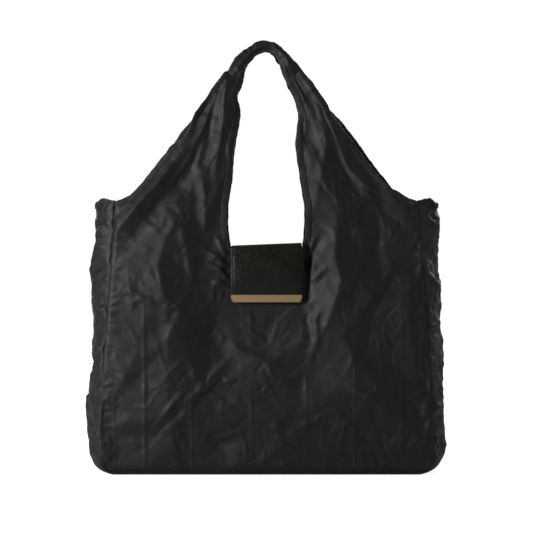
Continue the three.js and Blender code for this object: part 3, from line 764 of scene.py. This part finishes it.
def stitches(name, path, normals, look, pitch=3.3, length=2.5, radius=0.32):
    """A row of thread stitches along a path in millimetres, one small rounded bar each."""
    both, s = resample(np.hstack([path, normals]), 0.3)
    points, faces = [], []
    rings, around = 5, 6
    for start in np.arange(1.0, s[-1] - length, pitch):
        at = np.linspace(start, start + length, rings)
        centre = np.stack([np.interp(at, s, both[:, k]) for k in range(3)], -1)
        up = np.array([np.interp(start + length / 2, s, both[:, 3 + k]) for k in range(3)])
        up /= np.linalg.norm(up)
        along = centre[-1] - centre[0]
        side = np.cross(along / np.linalg.norm(along), up)
        first = len(points)
        for k in range(rings):
            arch = math.sin(math.pi * k / (rings - 1))
            size = radius * (0.45 + 0.55 * arch)
            for j in range(around):
                a = 2 * math.pi * j / around
                offset = size * (math.cos(a) * side + math.sin(a) * up) + up * (0.18 * arch - 0.15)
                points.append(centre[k] + offset)
        faces += [tuple(first + i for i in f) for f in strip_faces(rings, around, closed=True)]
        faces += [tuple(first + i for i in range(around)),
                  tuple(first + (rings - 1) * around + i for i in range(around))]
    obj = new_object(name, points, faces, look)
    fix_normals(obj)
    return obj


def case_leaf(name, y, top, bulge, looks):
    """The case's front or back: flat leather with round lower corners, a little slack."""
    low, half, corner = 222.0, FLAP_HALF, CASE_CORNER
    zs = np.concatenate([np.linspace(low, low + corner, 10), np.linspace(low + corner, top, 34)[1:]])
    width = half - corner * (1 - np.sqrt(1 - clamp01(1 - (zs - low) / corner) ** 2))
    u = np.linspace(-1, 1, 50)
    x = width[:, None] * u
    z = np.broadcast_to(zs[:, None], x.shape)
    depth = y - bulge * (1 - u**2) * np.sin(np.pi * clamp01((z - low) / (top - low)))
    depth = depth + 0.15 * np.sin(x / 8.0) * np.sin(z / 6.0)
    return slab(name, np.stack([x, depth, z], -1), 1.3, looks)


def case_gusset(name, looks):
    """The narrow strip that joins the case's two leaves, folded inwards along its middle."""
    half, low, top, corner = 43.4, 222.6, 280.6, CASE_CORNER
    arc = [(-half + corner - corner * math.cos(a), low + corner - corner * math.sin(a))
           for a in np.linspace(0, math.pi / 2, 9)]
    path = [(-half, top), *arc, *[(-x, z) for x, z in arc[::-1]], (half, top)]
    line, s = resample(path, 1.6)
    inward = left_of(line)
    rows = []
    for t in np.linspace(-1, 1, 9):
        xz = line + inward * (1.6 * (1 - abs(t)) + 0.2)
        rows.append(np.stack([xz[:, 0], np.full(len(s), -34.0 + 2.75 * t), xz[:, 1]], -1))
    return slab(name, np.stack(rows[::-1], 0), 0.8, looks, 0.2)


def loop_tab(name, looks):
    """The small leather tab: a strip folded round the loop's upright bar."""
    bar_x, y, root_x, radius = -48.0, -33.9, -44.4, 2.4
    low, high = 234.9, 243.1
    turn = [(bar_x - radius * math.sin(a), y - radius * math.cos(a)) for a in np.linspace(0, math.pi, 14)]
    plan, _ = resample([(root_x, y - radius), *turn, (root_x, y + radius)], 0.5)
    zs = np.linspace(low, high, 12)
    grid = np.array([[(px, py, z) for px, py in plan] for z in zs])
    return slab(name, grid[:, ::-1], 0.95, looks, 0.25)


def label_sheet(name, look):
    """A blank care label, sewn down at its top and curling a little below."""
    xs = np.linspace(-187.6, -160.0, 20)
    zs = np.linspace(170.2, 211.8, 26)
    x, z = np.meshgrid(xs, zs)
    free = clamp01((208 - z) / 38)
    y = 47.4 - free * (0.5 + 0.5 * np.sin(x / 5.0)) + 0.15 * np.sin(z / 3.0)
    return slab(name, np.stack([x, y, z], -1), 0.3, look, 0.08)


# ---- Materials ----
class Nodes:
    """A short way to write the nodes of a material or a world."""

    def __init__(self, owner):
        owner.use_nodes = True
        self.owner = owner
        self.tree = owner.node_tree
        self.shader = self.tree.nodes.get("Principled BSDF") or self.tree.nodes["Background"]

    def add(self, kind, inputs=None, **settings):
        node = self.tree.nodes.new(kind)
        for key, value in settings.items():
            setattr(node, key, value)
        for key, value in (inputs or {}).items():
            if isinstance(value, bpy.types.NodeSocket):
                self.tree.links.new(value, node.inputs[key])
            else:
                node.inputs[key].default_value = value
        return node

    def set(self, **values):
        for key, value in values.items():
            self.shader.inputs[key.replace("_", " ")].default_value = value

    def link(self, socket, name):
        self.tree.links.new(socket, self.shader.inputs[name])

    def position(self, scale=(1, 1, 1), rotation=(0, 0, 0)):
        """Object coordinates, in metres."""
        here = self.add("ShaderNodeTexCoord").outputs["Object"]
        inputs = {"Vector": here, "Scale": scale, "Rotation": rotation}
        return self.add("ShaderNodeMapping", inputs).outputs["Vector"]

    def noise(self, vector, scale, detail=3.0, rough=0.5, kind="FBM"):
        inputs = {"Vector": vector, "Scale": scale, "Detail": detail, "Roughness": rough}
        return self.add("ShaderNodeTexNoise", inputs, noise_type=kind).outputs["Fac"]

    def bands(self, vector, scale, direction="X", distortion=0.0):
        inputs = {"Vector": vector, "Scale": scale, "Distortion": distortion}
        return self.add("ShaderNodeTexWave", inputs, bands_direction=direction).outputs["Fac"]

    def ramp(self, fac, dark, light, low=0.3, high=0.7):
        """A colour from dark to light as fac goes from low to high."""
        node = self.add("ShaderNodeValToRGB", {"Fac": fac})
        for element, place, colour in zip(node.color_ramp.elements, (low, high), (dark, light)):
            element.position = place
            element.color = (*colour, 1)
        return node.outputs["Color"]

    def spread(self, fac, low, high):
        """A value from low to high as fac goes from 0 to 1."""
        node = self.add("ShaderNodeMapRange", {"Value": fac, "To Min": low, "To Max": high})
        return node.outputs["Result"]

    def math(self, operation, a, b=0.0):
        node = self.add("ShaderNodeMath", {0: a, 1: b}, operation=operation)
        return node.outputs[0]

    def bump(self, height, distance, strength=1.0, normal=None):
        inputs = {"Height": height, "Distance": distance * MM, "Strength": strength}
        if normal is not None:
            inputs["Normal"] = normal
        return self.add("ShaderNodeBump", inputs).outputs["Normal"]


def new_material(name):
    return Nodes(bpy.data.materials.new(name))


def shades(colour, *amounts):
    return [tuple(c * amount for c in colour) for amount in amounts]


def nylon_material(name, dark, light, roughness):
    n = new_material(name)
    here = n.position()
    n.link(n.ramp(n.noise(here, 26, 4), (dark,) * 3, (light,) * 3), "Base Color")
    n.link(n.spread(n.noise(here, 60, 2), roughness - 0.05, roughness + 0.06), "Roughness")
    n.set(Specular_IOR_Level=0.55, Sheen_Weight=0.03, Sheen_Roughness=0.4)
    weave = n.math("MULTIPLY", *[n.bands(n.position(rotation=(0, turn, 0)), 135.0) for turn in (0.7, -0.7)])
    creases = n.noise(here, 40, 5, 0.6, "RIDGED_MULTIFRACTAL")
    crinkle = n.bump(n.noise(here, 230, 4, 0.6), 0.5, 0.7)
    n.link(n.bump(weave, 0.07, 0.5, n.bump(creases, 0.8, 0.55, crinkle)), "Normal")
    return n.owner


def tape_material(name):
    n = new_material(name)
    here = n.position()
    n.link(n.ramp(n.noise(here, 90), (0.008,) * 3, (0.017,) * 3, high=0.75), "Base Color")
    n.set(Roughness=0.6, Specular_IOR_Level=0.35, Sheen_Weight=0.05)
    uv = n.add("ShaderNodeTexCoord").outputs["UV"]
    ribs = n.bands(uv, 230.0, distortion=1.2)
    n.link(n.bump(ribs, 0.25, 0.6, n.bump(n.noise(here, 400), 0.5, 0.5)), "Normal")
    return n.owner


def leather_material(name, dark, light, roughness):
    n = new_material(name)
    here = n.position()
    grain = n.add("ShaderNodeTexVoronoi", {"Vector": here, "Scale": 700.0}, feature="F1").outputs["Distance"]
    streak = n.noise(n.position(scale=(0.35, 1, 1)), 420, 4, 0.65)
    mixed = n.math("ADD", grain, n.math("MULTIPLY", streak, 0.8))
    n.link(n.ramp(n.noise(here, 160), dark, light, high=0.75), "Base Color")
    n.link(n.spread(streak, roughness - 0.12, roughness + 0.1), "Roughness")
    n.set(Specular_IOR_Level=0.42)
    n.link(n.bump(mixed, 0.5, 0.7), "Normal")
    return n.owner


def metal_material(name, colour, roughness, brush=(1, 60, 60)):
    n = new_material(name)
    streak = n.noise(n.position(scale=brush), 60)
    n.link(n.ramp(streak, *shades(colour, 0.93, 1.0)), "Base Color")
    n.link(n.spread(streak, roughness - 0.04, roughness + 0.05), "Roughness")
    n.set(Metallic=1.0)
    n.link(n.bump(streak, 0.02, 0.25), "Normal")
    return n.owner


def cloth_material(name, colour, roughness=0.85):
    n = new_material(name)
    here = n.position()
    n.link(n.ramp(n.noise(here, 220), *shades(colour, 0.85, 1.1)), "Base Color")
    n.set(Roughness=roughness, Specular_IOR_Level=0.25)
    n.link(n.bump(n.bands(here, 700.0, "Z"), 0.12, 0.5), "Normal")
    return n.owner


NYLON = nylon_material("nylon_cloth", 0.0028, 0.0045, 0.61)
TAPE = tape_material("hem_tape")
LEATHER = leather_material("black_leather", (0.0034, 0.0038, 0.0016), (0.0068, 0.0075, 0.0032), 0.38)
EDGE_PAINT = leather_material("leather_edge", (0.006, 0.006, 0.006), (0.011, 0.011, 0.01), 0.35)
SATIN_GOLD = metal_material("satin_gold", (0.93, 0.66, 0.35), 0.40)
PALE_GOLD = metal_material("pale_gold", (0.80, 0.60, 0.45), 0.16, (20, 20, 20))
STEEL = metal_material("magnet_steel", (0.55, 0.55, 0.54), 0.3, (1, 1, 40))
LINING = cloth_material("lining_cloth", (0.012, 0.012, 0.012))
LABEL = cloth_material("label_cloth", (0.62, 0.61, 0.58), 0.6)
THREAD = cloth_material("thread", (0.05, 0.05, 0.042), 0.5)


# ---- Camera, light and floor ----
VIEW_WIDTH, VIEW_DISTANCE = 0.660, 1.75
SENSOR = 36
AMBIENT = 0.028
FLOOR_NEAR, FLOOR_FAR = 0.84, 1.0  # how bright the floor looks


def aim(obj, position, target):
    obj.location = position
    obj.rotation_euler = (target - position).to_track_quat("-Z", "Y").to_euler()


def make_camera():
    data = bpy.data.cameras.new("camera")
    data.sensor_width = SENSOR
    data.lens = SENSOR * VIEW_DISTANCE / VIEW_WIDTH
    camera = add_object("camera", data)
    target = Vector((0.0, -0.055, 0.2607))
    elevation = math.radians(1.5)
    backwards = Vector((0, -math.cos(elevation), math.sin(elevation)))
    aim(camera, target + backwards * VIEW_DISTANCE, target)
    bpy.context.scene.camera = camera


def area_light(name, position, target, size, watts):
    data = bpy.data.lights.new(name, "AREA")
    data.shape = "RECTANGLE"
    data.size, data.size_y = size
    data.energy = watts
    light = add_object(name, data)
    aim(light, Vector(position), Vector(target))


def camera_only(n, low, high):
    """A value that is high for what the camera sees and low for the light that reaches the bag."""
    return n.spread(n.add("ShaderNodeLightPath").outputs["Is Camera Ray"], low, high)


def make_studio():
    scene = bpy.context.scene
    scene.view_settings.view_transform = "Standard"
    scene.world = bpy.data.worlds.new("studio")
    n = Nodes(scene.world)
    n.set(Color=(1, 1, 1, 1))
    n.link(camera_only(n, AMBIENT, 1.0), "Strength")
    floor = new_object("floor", [(x, y, 0) for x, y in ((-3e4, -3e3), (3e4, -3e3), (3e4, 9e4), (-3e4, 9e4))],
                       [(0, 1, 2, 3)], floor_material(), smooth_shading=False)
    area_light("key", (-1.42, -1.02, 0.70), (-0.05, 0, 0.2), (0.5, 0.5), 25)
    area_light("fill", (1.8, -0.55, 0.9), (0, 0, 0.2), (0.8, 0.8), 4.5)
    area_light("top", (0.1, -0.2, 2.2), (0, 0, 0), (1.6, 1.2), 4)
    area_light("rear_left", (-0.9, 1.75, 1.1), (0, 0, 0.2), (0.8, 0.8), 28)
    area_light("rear_right", (1.15, 1.5, 1.0), (0, 0, 0.2), (0.8, 0.8), 14)


def floor_material():
    """A pale floor that shades off to white, so that it has no horizon."""
    n = new_material("floor")
    n.set(Base_Color=(0.5, 0.5, 0.5, 1), Roughness=0.9, Specular_IOR_Level=0.1)
    n.set(Emission_Color=(1, 1, 1, 1))
    here = n.position(scale=(0.8, 0.8, 1))
    near = n.add("ShaderNodeTexGradient", {"Vector": here}, gradient_type="SPHERICAL").outputs["Fac"]
    n.link(camera_only(n, 0.03, n.spread(near, FLOOR_FAR, FLOOR_NEAR)), "Emission Strength")
    return n.owner


# ---- Cloth ----
FACES = {"front": True, "back": False}
SIDES = (("left", -1), ("right", 1))
METAL_EDGE, BAR_EDGE = 0.3, 0.9  # roundings


def crosses_fold(obj):
    """Cloth that runs from the bag over the fold line into a handle: bakes its place into its mesh."""
    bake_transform(obj)


def stands_for(obj, slot, *nodes, body=None):
    """Puts a piece in the place of CAD nodes, and on a body if it doesn't bend."""
    if body:
        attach(obj, body)
    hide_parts(*nodes)
    return obj


def add_hem(which, part, path, inward, seed, nodes):
    """A hem on a face's edge, which runs over the fold line with the face."""
    obj = hem(f"{which}_{part}", path, FACES[which], inward, TAPE, seed)
    crosses_fold(obj)
    return stands_for(obj, "tape", *[f"{which}_{node}" for node in nodes])


def add_tape(which, part, path, inward, seed, node):
    """A tape that binds a seam inside the bag."""
    obj = hem(f"{which}_{part}", path, FACES[which], inward, TAPE, seed, lift=-2.0)
    return stands_for(obj, "tape", f"{which}_{node}", body="bag")


def make_face(which):
    is_front = FACES[which]
    sheet = face_sheet(f"{which}_cloth", is_front, CLOTH_STEP[which], NYLON)
    crosses_fold(sheet)
    stands_for(sheet, "nylon", f"{which}_panel", f"{which}_left_strap", f"{which}_right_strap")
    top = GRIP_Z + 2  # a hem runs a little way into the grip
    hems = [add_hem(which, "neck_hem", neck_path(top), -1, 61,
                    ["neck_binding", "left_strap_inner_binding", "right_strap_inner_binding"])]
    for side, sign in SIDES:
        hems.append(add_hem(which, f"{side}_edge_hem", outer_path(sign, top, is_front), sign, 70 + sign,
                            [f"{side}_shoulder_binding", f"{side}_strap_outer_binding"]))
        zs = np.linspace(28, 333, 120)
        path = np.stack([sign * (seam_x(zs) - 2.5), zs], -1)
        hems.append(add_tape(which, f"{side}_inner_tape", path, sign, 80 + sign, f"{side}_seam_tape"))
    path = np.stack([np.linspace(-175, 175, 120), np.full(120, 8.0)], -1)
    hems.append(add_tape(which, "base_inner_tape", path, 1, 85, "base_seam_tape"))
    tube = grip(f"{which}_handle_grip", is_front, NYLON)
    stands_for(tube, "nylon", f"{which}_grip", body=f"{which}_handle")


def make_sides():
    for side, sign in SIDES:
        sheet = gusset_sheet(f"{side}_gusset_cloth", sign, NYLON)
        stands_for(sheet, "nylon", f"{side}_gusset", body="bag")
        top = gusset_hem(f"{side}_gusset_top_hem", sign, TAPE)
        stands_for(top, "tape", f"{side}_gusset_hem", body="bag")
    base = base_sheet("base_cloth", NYLON)
    stands_for(base, "nylon", "base_panel", body="bag")
    label = label_sheet("blank_label", [LABEL])
    stands_for(label, "label", "care_label", body="bag")


def make_case():
    leather = [LEATHER, EDGE_PAINT]
    flap = flap_sheet("flap_top", FLAP_HALF, 0.0, FLAP_LOW, FLAP_BACK, LEATHER_THICK, leather, True)
    stands_for(flap, "leather", "flap_leather", body="flap")
    lining = flap_sheet("flap_inner_cloth", LINING_HALF, LINING_DEPTH, LINING_LOW, LINING_BACK, LINING_THICK,
                        [LINING], False)
    stands_for(lining, "lining", "flap_lining", body="flap")
    profile = flap_profile(0.0, STITCHES_LOW, STITCHES_BACK)
    for side, sign in SIDES:
        x = sign * (FLAP_HALF - STITCH_INSET)
        path = [(x, y, z + flap_slant(x, y, z)) for y, z, _, _ in profile]
        row = stitches(f"flap_{side}_stitches", path, [(0, ny, nz) for _, _, ny, nz in profile], THREAD)
        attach(row, "flap")
    pieces = (
        (case_leaf("case_front_leaf", -38.5, 281.4, 0.5, leather), "pocket_front"),
        (case_leaf("case_back_leaf", -30.9, 284.1, -0.4, leather), "pocket_back"),
        (case_gusset("case_side_strip", leather), "pocket_gusset"),
        (loop_tab("loop_tab", leather), "ring_tab"),
    )
    for obj, node in pieces:
        stands_for(obj, "leather", node, body="bag")


def paint_frame_nodes():
    """Materials for every CAD node, and rounded edges for the gold ones."""
    looks = {"nylon": NYLON, "tape": TAPE, "leather": LEATHER, "lining": LINING, "label": LABEL,
             "satin_gold": SATIN_GOLD, "pale_gold": PALE_GOLD, "magnet_steel": STEEL}
    slots = {part["node"]: part["material_slot"] for part in frame["record"]["subparts"]}
    for name, obj in frame["nodes"].items():
        obj.data.materials.clear()
        obj.data.materials.append(looks[slots[name]])
        if slots[name] in ("satin_gold", "pale_gold"):
            round_edges(obj, BAR_EDGE if name == "trim_bar" else METAL_EDGE)


make_camera()
make_studio()
paint_frame_nodes()
for face in FACES:
    make_face(face)
make_sides()
make_case()
